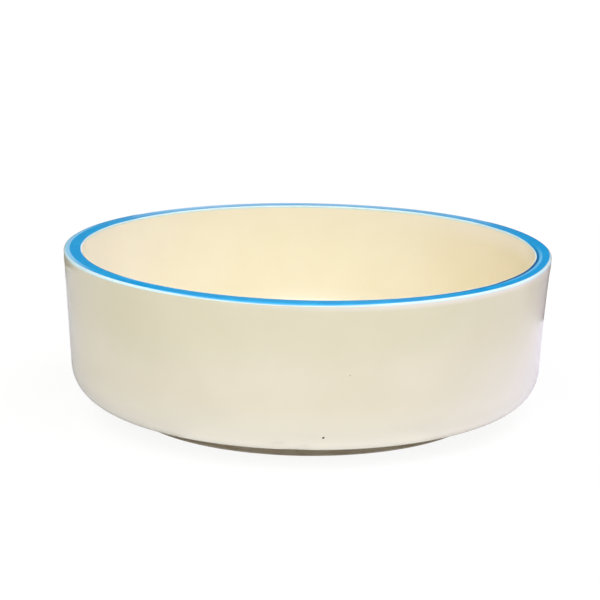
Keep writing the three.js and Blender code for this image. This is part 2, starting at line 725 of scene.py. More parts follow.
@dataclass(frozen=True)
class BlueGlaze:
    """Bright blue banding glaze: pale where it breaks at an edge, dark where it pools, with painted
    light.
    """

    name: str = "blue_band"
    body: Colour = from_screen(4, 160, 226)
    cloud: Colour = from_screen(16, 168, 230)
    # Pale break, also used for painted highlight and painted sheen.
    broken_and_painted_highlight: Colour = from_screen(214, 238, 238)
    # Blue where it pools, also used for painted shade.
    pooled_and_painted_light: Colour = from_screen(10, 94, 148)
    # Painted highlight.
    painted_light: Colour = from_screen(124, 210, 254)
    sheen: Span = (0.05, 0.09)
    cloud_size: float = 9 * MM
    peel_size: float = 4.5 * MM
    peel_depth: float = 0.012 * MM

    def material(self) -> bpy.types.Material:
        """Build the glaze's shader.

        Returns:
            The material.
        """
        graph = FinishGraph(self.name)
        clouds = graph.clouds(self.cloud_size, detail=3.0, spread=0.15)
        colour = graph.blend(clouds, self.body, self.cloud)
        layers = {Mark.PAINTED_LIGHT: self.painted_light, Mark.POOL_AND_PAINTED_LIGHT: self.pooled_and_painted_light, Mark.THIN_AND_PAINTED_LIGHT: self.broken_and_painted_highlight}
        for mark, layer in layers.items():
            colour = graph.blend(graph.mark(mark), colour, layer)
        haze = graph.clouds(self.cloud_size * 2, detail=2.0, spread=0.15, target=self.sheen)
        graph.feed(graph.surface, {"Base Color": colour, "Roughness": haze})
        graph.relief([(graph.noise(self.peel_size, detail=1.0), self.peel_depth)])
        return graph.material


@dataclass(frozen=True)
class BareClay:
    """Unglazed stoneware: matte, grainy, with iron flecks and a tread that is worn pale."""

    name: str
    body: Colour = from_screen(176, 164, 144)
    toasted: Colour = from_screen(156, 141, 118)
    worn_and_painted_sheen: Colour = from_screen(190, 180, 163)
    fleck: Colour = from_screen(86, 72, 58)
    roughness: Span = (0.72, 0.9)
    patch_size: float = 16 * MM
    grain_size: float = 0.7 * MM
    grain_span: Span = (0.3, 0.7)
    grain_depth: float = 0.05 * MM
    fleck_size: float = 1.6 * MM
    fleck_span: Span = (0.68, 0.76)
    fleck_share: float = 0.8

    def material(self) -> bpy.types.Material:
        """Build the clay's shader.

        Returns:
            The material.
        """
        graph = FinishGraph(self.name)
        patches = graph.clouds(self.patch_size, detail=4.0, spread=0.16)
        colour = graph.blend(patches, self.body, self.toasted)
        colour = graph.blend(graph.mark(Mark.WEAR), colour, self.worn_and_painted_sheen)
        flecks = graph.noise(self.fleck_size, detail=1.0)
        flecks = graph.graded(flecks, self.fleck_span, (0.0, self.fleck_share))
        colour = graph.blend(flecks, colour, self.fleck)
        grain = graph.noise(self.grain_size, detail=3.0)
        rough = graph.graded(grain, self.grain_span, self.roughness)
        graph.feed(graph.surface, {"Base Color": colour, "Roughness": rough})
        graph.relief([(grain, self.grain_depth)])
        return graph.material


@dataclass(frozen=True)
class SpeckGlass:
    """Iron specks that burnt through the glaze, from faint grey to near black."""

    name: str = "iron_specks"
    faint: Colour = from_screen(182, 174, 158)
    burnt: Colour = from_screen(24, 20, 17)
    sheen: float = 0.35

    def material(self) -> bpy.types.Material:
        """Build the specks' shader.

        Returns:
            The material.
        """
        graph = FinishGraph(self.name)
        colour = graph.blend(graph.mark(Mark.SHADE), self.faint, self.burnt)
        graph.feed(graph.surface, {"Base Color": colour, "Roughness": self.sheen})
        return graph.material


def add_object(name: str, points: np.ndarray, faces: list[tuple[int, ...]]) -> bpy.types.Object:
    """Make a smooth-shaded mesh object.

    Args:
        name: Name of the object and its mesh.
        points: Places of the points, one to a row.
        faces: Point numbers of each face.

    Returns:
        The object, linked to the scene.
    """
    mesh = bpy.data.meshes.new(name)
    mesh.from_pydata(points.tolist(), [], faces)
    mesh.polygons.foreach_set("use_smooth", np.ones(len(mesh.polygons), bool))
    mesh.set_sharp_from_angle(angle=SHARP_ANGLE)
    mesh.update()
    made = bpy.data.objects.new(name, mesh)
    bpy.context.scene.collection.objects.link(made)
    return made


def set_mark(made: bpy.types.Object, mark: Mark, values: np.ndarray) -> None:
    """Keep a value on each point of an object's mesh."""
    layer = made.data.attributes.new(mark.value, "FLOAT", "POINT")
    layer.data.foreach_set("value", values.astype(np.float32).ravel())


@dataclass
class TurnedPiece(ABC):
    """A piece turned about the bowl's axis, which stands for one node of the frame."""

    sizes: BowlSizes
    warp: FiredWarp
    turn_steps: int = 256
    node: ClassVar[str]
    piece: ClassVar[str]
    slot: ClassVar[Slot]

    @abstractmethod
    def section(self) -> Section:
        """Outline of the piece."""

    @abstractmethod
    def finish(self) -> bpy.types.Material:
        """Material of the piece."""

    def relief(self, at: Places) -> np.ndarray:
        """Height that the surface stands over its section; none by default."""
        return at.none

    def drift(self, at: Places) -> np.ndarray:
        """Radial shift of the points, as at a wavy edge; none by default."""
        return at.none

    def marks(self, at: Places) -> dict[Mark, np.ndarray]:
        """Values that the finish reads; none by default."""
        return {}

    def places(self, section: Section) -> Places:
        """Places of the piece's points.

        Args:
            section: Outline of the piece.

        Returns:
            The places, as turn steps by section points.
        """
        turn = np.arange(self.turn_steps)[:, None] * FULL_TURN / self.turn_steps
        radius, level = section.points[None, :, 0], section.points[None, :, 1]
        return Places(turn, radius, level, section.run[None, :], section.shown[None, :])

    def faces(self, section: Section) -> list[tuple[int, ...]]:
        """Faces between neighbouring turn steps and section points.

        Args:
            section: Outline of the piece.

        Returns:
            Point numbers of each face, in order round it.
        """
        count = len(section.points)
        here = np.arange(self.turn_steps)[:, None] * count
        there = np.roll(here, -1, axis=0)
        first = np.arange(count - 1 if section.on_axis else count)[None, :]
        second = (first + 1) % count
        quads = np.stack([here + first, there + first, there + second, here + second], -1)
        if not section.on_axis:
            return [tuple(quad) for quad in quads.reshape(-1, 4).tolist()]
        first_pole, last_pole = 0, count - 1
        bottom = [(first_pole, quad[2], quad[3]) for quad in quads[:, 0].tolist()]
        top = [(quad[0], quad[1], last_pole) for quad in quads[:, -1].tolist()]
        return [tuple(quad) for quad in quads[:, 1:-1].reshape(-1, 4).tolist()] + bottom + top

    def build(self) -> bpy.types.Object:
        """Make the piece, dress it and tie it to the frame.

        Returns:
            The finished object.
        """
        section = self.section()
        at = self.places(section)
        stand = self.relief(at)
        normals = section.normals[None, :, :]
        radius = np.maximum(at.radius + stand * normals[..., 0] + self.drift(at), 0.0)
        level = at.level + stand * normals[..., 1]
        radius = radius + self.warp.lean(at.turn, radius, level, self.sizes)
        x, y = radius * np.cos(at.turn), radius * np.sin(at.turn)
        z = level + self.warp.lift(x, y, level, self.sizes.height)
        points = np.stack([x, y, z], -1).reshape(-1, 3)
        made = add_object(self.piece, points, self.faces(section))
        for mark, value in self.marks(at).items():
            set_mark(made, mark, value * np.ones_like(z))
        self.drop_loose_points(made)
        made.data.materials.append(self.finish())
        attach(made, "root")
        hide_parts(self.node)
        return made

    @staticmethod
    def drop_loose_points(made: bpy.types.Object) -> None:
        """Delete the points on the axis that no face uses.

        Args:
            made: The object.
        """
        shape = bmesh.new()
        shape.from_mesh(made.data)
        loose = [point for point in shape.verts if not point.link_faces]
        bmesh.ops.delete(shape, geom=loose, context="VERTS")
        shape.to_mesh(made.data)
        shape.free()


@dataclass
class ClayBody(TurnedPiece):
    """Fired shell under the glaze, bare only in the wiped strips beside the foot."""

    node = "clay_body"
    piece = "clay_shell"
    slot = Slot.FIRED_CLAY

    def section(self) -> Section:
        """Floor, heel, wall and lip core, at the clay's depth.

        Returns:
            The outline.
        """
        s = self.sizes
        face, depth = Face.BONDED, s.clay_depth
        under, above = s.foot_height + depth, s.floor_level - depth
        return Section(
            line((0.0, under), (s.heel.x, under), face),
            s.heel_arc(face, depth),
            s.lip_outside_arc(face, depth),
            s.lip_inside_arc(face, depth),
            s.fillet_arc(face, depth),
            line((s.fillet.x, above), (0.0, above), face),
        )

    def finish(self) -> bpy.types.Material:
        """Plain bare clay."""
        return BareClay("fired_clay").material()


@dataclass
class FootRing(TurnedPiece):
    """Bare ring that the bowl stands on, with tool rings on its sides and a worn tread."""

    groove_depth: float = 0.05 * MM
    groove_pitch: float = 1.15 * MM
    groove_start: Span = (0.2 * MM, 0.9 * MM)
    root_fade: float = 0.5 * MM
    chatter: Ripple = Ripple(0.05 * MM, 23, 6 * MM, seed=11)
    wear_levels: Span = (0.1 * MM, 1.1 * MM)
    wear_waves: tuple[tuple[float, int, float], ...] = ((0.25 * MM, 7, 0.0), (0.15 * MM, 19, 1.0))
    node = "foot_ring"
    piece = "turned_foot"
    slot = Slot.FOOT_CLAY

    def section(self) -> Section:
        """Tread, sides, hollow root fillets and the bonded top.

        Returns:
            The outline.
        """
        s = self.sizes
        edge, root = s.foot_edge, s.root_fillet
        root_level = s.foot_height - root
        root_inner = s.foot_inner - root
        top = s.foot_height + s.coat
        tread_outside = Rounding(edge, s.foot_outer - edge, edge)
        tread_inside = Rounding(edge, s.foot_inner + edge, edge)
        root_outside = Rounding(root, s.root_outer, root_level)
        root_inside = Rounding(root, root_inner, root_level)
        seat = (
            (s.root_outer, s.foot_height),
            (s.root_outer, top),
            (root_inner, top),
            (root_inner, s.foot_height),
        )
        fine = Face.EDGE
        return Section(
            tread_outside.arc(-QUARTER, 0.0, fine),
            line((s.foot_outer, edge), (s.foot_outer, root_level), fine),
            root_outside.arc(math.pi, QUARTER, fine),
            *path(Face.BONDED, *seat),
            root_inside.arc(QUARTER, 0.0, fine),
            line((s.foot_inner, root_level), (s.foot_inner, edge), fine),
            tread_inside.arc(math.pi, math.pi + QUARTER, fine),
            line((tread_inside.x, 0.0), (tread_outside.x, 0.0), Face.BONDED),
        )

    def relief(self, at: Places) -> np.ndarray:
        """Tool rings that wind up the sides, and chatter, both fading at the tread and the root.

        Args:
            at: Places of the points.

        Returns:
            The height of each point over the section.
        """
        from_root = at.level - self.sizes.foot_height
        side = smooth_step(at.level, *self.groove_start)
        side = side * (1 - smooth_step(from_root, -self.root_fade, 0.0))
        rings = np.cos(FULL_TURN * at.run / self.groove_pitch + at.turn) - 1
        chatter = self.chatter.over(at.turn, at.run)
        return at.shown * side * (self.groove_depth / 2 * rings + chatter)

    def marks(self, at: Places) -> dict[Mark, np.ndarray]:
        """Wear on the tread, fading unevenly up its rounded edges."""
        uneven = sum(rise * np.sin(count * at.turn + phase) for rise, count, phase in self.wear_waves)
        return {Mark.WEAR: 1 - smooth_step(at.level + uneven, *self.wear_levels)}

    def finish(self) -> bpy.types.Material:
        """Bare clay, a little browner than the shell."""
        return BareClay("foot_clay", body=from_screen(172, 160, 140)).material()


@dataclass
class OuterGlaze(TurnedPiece):
    """Cream coat on the wall and heel, painted light on its right side, a rolled edge at the foot."""

    swell: Ripple = Ripple(0.035 * MM, 6, 70 * MM, seed=3)
    lip_fade: Span = (-4 * MM, -1 * MM)
    line_wander: Ripple = Ripple(0.16 * MM, 31, 1.0, seed=5)
    wander_reach: float = 3 * MM
    roll_radius: float = 0.4 * MM
    roll_height: float = 0.12 * MM
    roll_width: float = 1.6 * MM
    bead_height: float = 0.12 * MM
    bead_drop: float = 3.0 * MM
    bead_width: float = 1.7 * MM
    edge_runs: Span = (0.1 * MM, 1.2 * MM)
    edge_share: float = 0.8
    # Painted bounce light whitens the wall below the first levels; painted shade yellows it above the
    # next.
    pool_and_painted_light_levels: Span = (10 * MM, 30 * MM)
    high_levels: Span = (32 * MM, 58 * MM)
    high_share: float = 0.22
    # Painted cool light low on the right side and up its flank, and a painted highlight under the lip.
    painted_light_side: Side = Side(74.0, 28.0, power=2)
    painted_light_start: Span = (5 * MM, 20 * MM)
    painted_light_tint_share: float = 0.7
    flank: Side = Side(95.0, 25.0, power=2)
    flank_start: Span = (22 * MM, 50 * MM)
    flank_share: float = 0.8
    painted_lip_highlight: Side = Side(50.0, 55.0)
    painted_lip_highlight_drop: float = 2.6 * MM
    painted_lip_highlight_share: float = 0.75
    dent: Patch = Patch(-2.75, 8.4 * MM, 5.5 * MM, 5.5 * MM)
    dent_depth: float = 0.2 * MM
    smudges: tuple[Patch, ...] = (
        Patch(-6.15, 11.3 * MM, 2.2 * MM, 1.1 * MM),
        Patch(-0.25, 10.1 * MM, 1.8 * MM, 0.9 * MM),
    )
    smudge_share: float = 0.22
    node = "outer_glaze"
    piece = "outer_cream_coat"
    slot = Slot.CREAM_GLAZE

    def section(self) -> Section:
        """Rolled edge, underside, heel and wall, and back along the clay.

        Returns:
            The outline.
        """
        s, size = self.sizes, self.roll_radius
        top = s.outer_coat_top
        roll = Rounding(size, s.glaze_line + size, s.foot_height + size)
        heel = s.heel_arc(Face.SHOWN)
        hidden = s.heel_arc(Face.BONDED, s.coat).back()
        return Section(
            roll.arc(math.pi, math.pi + QUARTER, Face.EDGE),
            line((roll.x, s.foot_height), (s.heel.x, s.foot_height), Face.SHOWN),
            heel,
            line(heel.last, s.outer_wall(top), Face.SHOWN),
            *path(Face.BONDED, s.outer_wall(top), s.outer_wall(top, s.coat), hidden.first),
            hidden,
            line(hidden.last, (s.glaze_line, s.foot_height + s.coat), Face.BONDED),
        )

    def relief(self, at: Places) -> np.ndarray:
        """Swell of the coat, its bead under the lip, its rolled edge and the dent in the heel.

        Args:
            at: Places of the points.

        Returns:
            The height of each point over the section.
        """
        from_top = at.level - self.sizes.outer_coat_top
        below_lip = 1 - smooth_step(from_top, *self.lip_fade)
        swell = below_lip * self.swell.over(at.turn, at.run)
        bead = self.bead_height * hump(from_top + self.bead_drop, self.bead_width)
        roll = self.roll_height * hump(at.run, self.roll_width)
        return at.shown * (swell + bead + roll - self.dent_depth * self.dent.share(at))

    def drift(self, at: Places) -> np.ndarray:
        """Wandering glaze line, kept clear of the foot.

        Args:
            at: Places of the points.

        Returns:
            The outward shift of each point.
        """
        wander = np.abs(self.line_wander.over(at.turn, 0.0))
        near_line = 1 - smooth_step(at.radius - self.sizes.glaze_line, 0.0, self.wander_reach)
        underneath = at.level < self.sizes.foot_height + 2 * self.sizes.coat
        return wander * near_line * underneath

    def painted_light_tint_amount(self, at: Places) -> np.ndarray:
        """Painted light: low on the right side, up its flank, and a painted highlight under the lip.

        Args:
            at: Places of the points.

        Returns:
            The share of painted light at each point.
        """
        high = smooth_step(at.level, *self.flank_start)
        low = smooth_step(at.level, *self.painted_light_start) * (1 - high)
        side = self.painted_light_tint_share * self.painted_light_side.share(at.turn) * low
        flank = self.flank_share * self.flank.share(at.turn) * high
        # Painted highlight in a band under the lip.
        under_lip = smooth_step(at.level - self.sizes.outer_coat_top, -self.painted_lip_highlight_drop, 0.0)
        painted_lip_highlight = self.painted_lip_highlight_share * self.painted_lip_highlight.share(at.turn) * under_lip
        return np.maximum(side + flank, painted_lip_highlight)

    def marks(self, at: Places) -> dict[Mark, np.ndarray]:
        """Thinly laid edge, painted shade up high, painted bounce light low, smudges, painted light.

        Args:
            at: Places of the points.

        Returns:
            The values of each mark.
        """
        edge = self.edge_share * (1 - smooth_step(at.run, *self.edge_runs)) * at.shown
        # Painted shade: the upper wall is laid yellower.
        high = self.high_share * smooth_step(at.level, *self.high_levels)
        return {
            Mark.THIN_AND_PAINTED_LIGHT: np.maximum(edge, high),
            # Painted bounce light: the lower wall is laid whiter.
            Mark.POOL_AND_PAINTED_LIGHT: 1 - smooth_step(at.level, *self.pool_and_painted_light_levels),
            Mark.SMUDGE: self.smudge_share * sum(smudge.share(at) for smudge in self.smudges),
            Mark.PAINTED_LIGHT: self.painted_light_tint_amount(at),
        }

    def finish(self) -> bpy.types.Material:
        """Outer cream glaze, darker than the liner's: painted shade; whiter low down: painted bounce
        light.

        Returns:
            The material.
        """
        # The body is a darker copy of the liner's cream: painted shade. Next, thin glaze at the foot
        # with painted shade up the wall, then painted bounce light.
        body, cloud = from_screen(214, 207, 186), from_screen(210, 203, 179)
        thin_and_painted_light, pooled_and_painted_light = from_screen(186, 184, 136), from_screen(216, 211, 196)
        return CreamGlaze("outer_cream", body, cloud, thin_and_painted_light=thin_and_painted_light, pooled_and_painted_light=pooled_and_painted_light).material()

    def spot(self, azimuth: float, level: float) -> tuple[Vector, Vector]:
        """Place and outward direction of the surface at an azimuth and level.

        Args:
            azimuth: Degrees right of the front.
            level: Height above the table.

        Returns:
            The point and its outward direction.
        """
        section = self.section()
        face = np.flatnonzero(section.shown)
        radii, levels = section.points[face].T
        underneath = radii < self.sizes.heel.x
        nearest = face[np.argmin(np.abs(levels - level) + underneath)]
        turn, place = turn_to(azimuth), section.points[nearest]
        values = (turn, *place, section.run[nearest], section.shown[nearest])
        stand = self.relief(Places(*(np.array([[value]]) for value in values)))
        outward = section.normals[nearest]
        radius, height = place + stand.item() * outward
        radius = radius + self.warp.lean(turn, radius, height, self.sizes)
        x, y = radius * math.cos(turn), radius * math.sin(turn)
        lift = self.warp.lift(x, y, height, self.sizes.height)
        direction = Vector((outward[0] * math.cos(turn), outward[0] * math.sin(turn), outward[1]))
        return Vector((x, y, height + lift)), direction.normalized()


@dataclass
class LinerGlaze(TurnedPiece):
    """Cream coat on the inside, a little deeper in the fillet where it ran down."""

    swell: Ripple = Ripple(0.03 * MM, 5, 80 * MM, seed=8)
    lip_fade: Span = (-4 * MM, -1 * MM)
    axis_fade: Span = (2 * MM, 30 * MM)
    pool_height: float = 0.06 * MM
    pool_and_painted_light_levels: Span = (1 * MM, 9 * MM)
    pool_reach: Span = (-16 * MM, 2 * MM)
    pool_share: float = 0.8
    floor_pool: float = 0.7
    wall_reach: Span = (50 * MM, 85 * MM)
    # Painted shade on the wall on this side; painted light on the wall across from it.
    painted_shade_azimuth: float = 95.0
    thin_and_painted_shade_share: float = 0.23
    painted_light_tint_share: float = 0.6
    painted_lip_highlight_fade: Span = (-9 * MM, -2 * MM)
    painted_lip_highlight_share: float = 0.5
    node = "liner_glaze"
    piece = "liner_cream_coat"
    slot = Slot.LINER_CREAM

    def section(self) -> Section:
        """Along the clay from the axis to the lip, and back down the inside to the axis.

        Returns:
            The outline.
        """
        s = self.sizes
        top, bonded = s.liner_top, Face.BONDED
        hidden = s.fillet_arc(bonded, s.coat).back()
        fillet = s.fillet_arc(Face.SHOWN)
        return Section(
            line((0.0, s.floor_level - s.coat), hidden.first, bonded),
            hidden,
            *path(bonded, hidden.last, s.inner_wall(top, s.coat), s.inner_wall(top)),
            line(s.inner_wall(top), fillet.first, Face.SHOWN),
            fillet,
            line(fillet.last, (0.0, s.floor_level), Face.SHOWN),
        )

    def pool(self, at: Places) -> np.ndarray:
        """Share of pooling, over the floor and highest where the fillet meets it.

        Args:
            at: Places of the points.

        Returns:
            The share at each point.
        """
        down = 1 - smooth_step(at.level - self.sizes.floor_level, *self.pool_and_painted_light_levels)
        out = smooth_step(at.radius - self.sizes.fillet.x, *self.pool_reach)
        return down * (self.floor_pool + (1 - self.floor_pool) * out)

    def relief(self, at: Places) -> np.ndarray:
        """Swell of the coat, level at the lip and the middle, and the pooled ring.

        Args:
            at: Places of the points.

        Returns:
            The height of each point over the section.
        """
        below_lip = 1 - smooth_step(at.level - self.sizes.liner_top, *self.lip_fade)
        off_axis = smooth_step(at.radius, *self.axis_fade)
        swell = below_lip * off_axis * self.swell.over(at.turn, at.run)
        return at.shown * (swell + self.pool_height * self.pool(at))

    def marks(self, at: Places) -> dict[Mark, np.ndarray]:
        """Pooling, painted shade on the right wall, painted light on the left, painted highlight under
        the lip.

        Args:
            at: Places of the points.

        Returns:
            The values of each mark.
        """
        facing = np.cos(at.turn - turn_to(self.painted_shade_azimuth))
        toward, away = np.maximum(facing, 0.0), np.maximum(-facing, 0.0)
        on_wall = smooth_step(at.radius, *self.wall_reach)
        under_lip = smooth_step(at.level - self.sizes.liner_top, *self.painted_lip_highlight_fade)
        # Painted light on the left wall and a painted highlight under the lip on the right.
        painted_light_tint = self.painted_light_tint_share * on_wall * away**3 + self.painted_lip_highlight_share * under_lip * toward**2
        return {
            # Painted shade on the right wall.
            Mark.THIN_AND_PAINTED_LIGHT: self.thin_and_painted_shade_share * on_wall * toward**3,
            Mark.POOL_AND_PAINTED_LIGHT: self.pool_share * self.pool(at),
            Mark.PAINTED_LIGHT: painted_light_tint,
        }

    def finish(self) -> bpy.types.Material:
        """Cream glaze of the inside, a little warmer, and lighter than the outer coat's: painted light.

        Returns:
            The material.
        """
        body, cloud = from_screen(242, 237, 215), from_screen(239, 233, 207)
        # The first colour is painted shade, the second painted light.
        thin_and_painted_light, painted_light_tint = from_screen(224, 186, 124), from_screen(247, 243, 238)
        return CreamGlaze("liner_cream", body, cloud, thin_and_painted_light=thin_and_painted_light, painted_light_tint=painted_light_tint).material()


@dataclass
class RimGlaze(TurnedPiece):
    """Blue band over the lip, softly crowned, lapping the cream, with pale breaks and painted light at
    its edges.
    """

    proud: float = 0.03 * MM
    lap: float = 0.14 * MM
    crown: float = 0.10 * MM
    shoulder: float = 1.9 * MM
    edge_drop: float = 0.5 * MM
    swell: Ripple = Ripple(0.022 * MM, 9, 30 * MM, seed=21)
    outer_line: float = 0.62 * MM
    inner_line: float = 0.58 * MM
    line_wander: Ripple = Ripple(0.07 * MM, 37, 1.0, seed=17)
    fade: float = 0.16 * MM
    broken_share: float = 0.92
    # Painted highlights along the outer edge: where, and how wide.
    painted_edge_highlights: tuple[tuple[Side, float], ...] = (
        (Side(60.0, 30.0, power=2), 0.6 * MM),
        (Side(79.0, 16.0, power=2), 0.75 * MM),
        (Side(-58.0, 25.0, power=2), 0.88 * MM),
        (Side(32.0, 20.0, power=2), 0.3 * MM),
        (Side(-88.0, 14.0, power=2), 0.4 * MM),
    )
    inner_pale: float = 0.32 * MM
    pool_width: float = 1.5 * MM
    pool_share: float = 0.15
    # Painted sheen at the back and the front, laid as pale glaze.
    far: Side = Side(180.0, 55.0)
    far_pale: float = 0.58 * MM
    far_share: float = 0.22
    near: Side = Side(15.0, 50.0)
    near_pale: float = 1.15 * MM
    # Painted shade widens the dark inner edge at the front.
    near_pool_and_painted_shade: float = 1.2 * MM
    near_share: float = 0.06
    right: Side = Side(64.0, 31.0)
    # Painted shade widens the dark inner edge on the right.
    right_pool_and_painted_shade: float = 0.8 * MM
    # Painted reflection along the outer part of the lip on the left.
    left: Side = Side(-88.0, 24.0)
    pale_width: float = 2.6 * MM
    pale_fade: float = 0.5 * MM
    pale_share: float = 0.28
    # Painted highlight along the inner part of the lip on the right.
    painted_light: Side = Side(70.0, 20.0)
    painted_light_inset: float = 2.3 * MM
    painted_light_width: float = 0.75 * MM
    painted_light_share: float = 0.9
    node = "rim_glaze"
    piece = "blue_lip_band"
    slot = Slot.BLUE_GLAZE

    def section(self) -> Section:
        """Up over the outer edge, across the top, down the inner edge, and back along the clay.

        Returns:
            The outline.
        """
        s, proud = self.sizes, self.proud
        fine, bonded = Face.EDGE, Face.BONDED
        outer_end, inner_end = s.outer_coat_top - self.lap, s.liner_top - self.lap
        outer_seat, inner_seat = s.outer_coat_top + s.bond_line / 2, s.liner_top + s.bond_line / 2
        outer_tip, inner_tip = s.outer_wall(outer_end), s.inner_wall(inner_end)
        outer_taper = s.outer_wall(outer_end + 2 * proud, -proud)
        inner_taper = s.inner_wall(inner_end + 2 * proud, -proud)
        outside = s.lip_outside_arc(fine, -proud)
        inside = s.lip_inside_arc(fine, -proud)
        return Section(
            *path(fine, outer_tip, outer_taper, outside.first),
            outside,
            line(outside.last, inside.first, fine),
            inside,
            *path(fine, inside.last, inner_taper, inner_tip),
            *path(bonded, inner_tip, s.inner_wall(inner_seat), s.inner_wall(inner_seat, s.coat)),
            s.lip_inside_arc(bonded, s.coat).back(),
            s.lip_outside_arc(bonded, s.coat).back(),
            line(s.outer_wall(outer_seat, s.coat), s.outer_wall(outer_seat), bonded),
        )

    def from_outside(self, at: Places) -> np.ndarray:
        """Distance in from the outer face of the lip."""
        return self.sizes.rim_radius - at.radius

    def from_inside(self, at: Places) -> np.ndarray:
        """Distance out from the inner face of the lip."""
        return at.radius - self.sizes.mouth_radius

    def relief(self, at: Places) -> np.ndarray:
        """Crown across the lip and a swell along it.

        Args:
            at: Places of the points.

        Returns:
            The height of each point over the section.
        """
        on_top = smooth_step(at.level - self.sizes.height, -self.edge_drop, 0.0)
        edge = np.minimum(self.from_outside(at), self.from_inside(at))
        drop = self.crown * (1 - smooth_step(edge, 0.0, self.shoulder))
        return at.shown * on_top * (self.swell.over(at.turn, at.run) - drop)

    def broken_and_painted_highlight(self, at: Places, wander: np.ndarray, inner_pale: np.ndarray) -> np.ndarray:
        """Pale glaze below the band's two lines and along its inner edge, painted highlight on outer
        edges.

        Args:
            at: Places of the points.
            wander: How far the lines wander.
            inner_pale: Width of the pale line along the inner edge.

        Returns:
            The share of pale glaze at each point.
        """
        outer_half = self.from_outside(at) < self.sizes.lip_width / 2
        # The pale lines and inner edge are partly glaze break and partly painted highlight.
        edge_line = np.where(outer_half, self.outer_line + wander, self.inner_line - wander)
        below = self.sizes.height - at.level - edge_line
        lines = smooth_step(below, -self.fade / 2, self.fade / 2)
        inset = self.from_inside(at) + wander - inner_pale
        inner = 1 - smooth_step(inset, -self.fade, self.fade)
        # Painted highlight along the outer edge on some sides.
        bare = sum(width * side.share(at.turn) for side, width in self.painted_edge_highlights)
        outer = 1 - smooth_step(self.from_outside(at) - bare, -self.fade, self.fade)
        return np.maximum(lines, np.maximum(inner, outer) * at.shown)

    def marks(self, at: Places) -> dict[Mark, np.ndarray]:
        """Pale edges, the inner-edge pool deepened by painted shade, painted sheen and painted
        highlights.

        Args:
            at: Places of the points.

        Returns:
            The values of each mark.
        """
        wander = self.line_wander.over(at.turn, 0.0)
        far, near, right = (side.share(at.turn) for side in (self.far, self.near, self.right))
        inner_pale = self.inner_pale + (self.far_pale - self.inner_pale) * far
        inner_pale = inner_pale + (self.near_pale - self.inner_pale) * near
        inset = self.from_inside(at) + wander
        # Past a little real pooling, the dark inner edge on the right and at the front is painted
        # shade.
        pool_start = inner_pale + right * self.right_pool_and_painted_shade
        pool_end = self.pool_width + near * self.near_pool_and_painted_shade + right * self.right_pool_and_painted_shade
        pool = smooth_step(inset, inner_pale, inner_pale + 2 * self.fade)
        pool = pool * (1 - smooth_step(inset, pool_start, pool_end))
        pool = pool * (self.pool_share + (1 - self.pool_share) * np.maximum(right, near))
        # Painted reflection on the left.
        past_pale = smooth_step(self.from_outside(at) - self.pale_width, -self.pale_fade, 0.0)
        pale = self.left.share(at.turn) * (1 - past_pale)
        # Painted highlight on the right.
        painted_light = hump(self.from_inside(at) - self.painted_light_inset, self.painted_light_width, power=4)
        painted_light = painted_light * self.painted_light.share(at.turn)
        # Painted sheen at the back and the front, and the painted reflection on the left.
        worn_and_painted_sheen = np.maximum(self.far_share * far, self.near_share * near * (1 - right))
        worn_and_painted_sheen = np.maximum(worn_and_painted_sheen, self.pale_share * pale)
        broken_and_painted_highlight = self.broken_share * self.broken_and_painted_highlight(at, wander, inner_pale)
        return {
            Mark.THIN_AND_PAINTED_LIGHT: np.maximum(broken_and_painted_highlight, worn_and_painted_sheen),
            Mark.POOL_AND_PAINTED_LIGHT: pool * at.shown,
            Mark.PAINTED_LIGHT: self.painted_light_share * np.maximum(pale, painted_light) * at.shown,
        }

    def finish(self) -> bpy.types.Material:
        """Blue banding glaze."""
        return BlueGlaze().material()


@dataclass
class BaseGlaze(TurnedPiece):
    """Cream coat under the floor, inside the foot ring, with a rolled edge."""

    swell: Ripple = Ripple(0.04 * MM, 7, 45 * MM, seed=31)
    axis_fade: Span = (2 * MM, 25 * MM)
    line_wander: Ripple = Ripple(0.18 * MM, 27, 1.0, seed=33)
    wander_reach: float = 4 * MM
    roll_radius: float = 0.4 * MM
    thin_reach: float = 1.6 * MM
    thin_and_painted_shade_share: float = 0.8
    node = "base_glaze"
    piece = "base_cream_coat"
    slot = Slot.BASE_CREAM

    def section(self) -> Section:
        """Out along the underside, round the rolled edge, and back along the clay.

        Returns:
            The outline.
        """
        s, size = self.sizes, self.roll_radius
        top = s.foot_height + s.coat
        roll = Rounding(size, s.base_edge - size, s.foot_height + size)
        return Section(
            line((0.0, s.foot_height), (roll.x, s.foot_height), Face.SHOWN),
            roll.arc(-QUARTER, 0.0, Face.EDGE),
            *path(Face.BONDED, (s.base_edge, roll.z), (s.base_edge, top), (0.0, top)),
        )

    def relief(self, at: Places) -> np.ndarray:
        """Swell of the coat, level in the middle."""
        off_axis = smooth_step(at.radius, *self.axis_fade)
        return at.shown * off_axis * self.swell.over(at.turn, at.run)

    def drift(self, at: Places) -> np.ndarray:
        """Wandering edge, kept clear of the foot."""
        near_edge = smooth_step(at.radius - self.sizes.base_edge, -self.wander_reach, 0.0)
        return -np.abs(self.line_wander.over(at.turn, 0.0)) * near_edge

    def marks(self, at: Places) -> dict[Mark, np.ndarray]:
        """Thin rim of the coat."""
        rim = smooth_step(at.radius - self.sizes.base_edge, -self.thin_reach, 0.0)
        return {Mark.THIN_AND_PAINTED_LIGHT: self.thin_and_painted_shade_share * rim}

    def finish(self) -> bpy.types.Material:
        """Cream glaze of the base, a little less glossy."""
        body, cloud = from_screen(230, 222, 196), from_screen(225, 216, 186)
        return CreamGlaze("base_cream", body, cloud, sheen=(0.2, 0.32)).material()


@dataclass(frozen=True)
class Speck:
    """One iron speck: where it lies on the outside, how wide it is and how dark it burnt."""

    azimuth: float
    level: float
    width: float
    shade: float


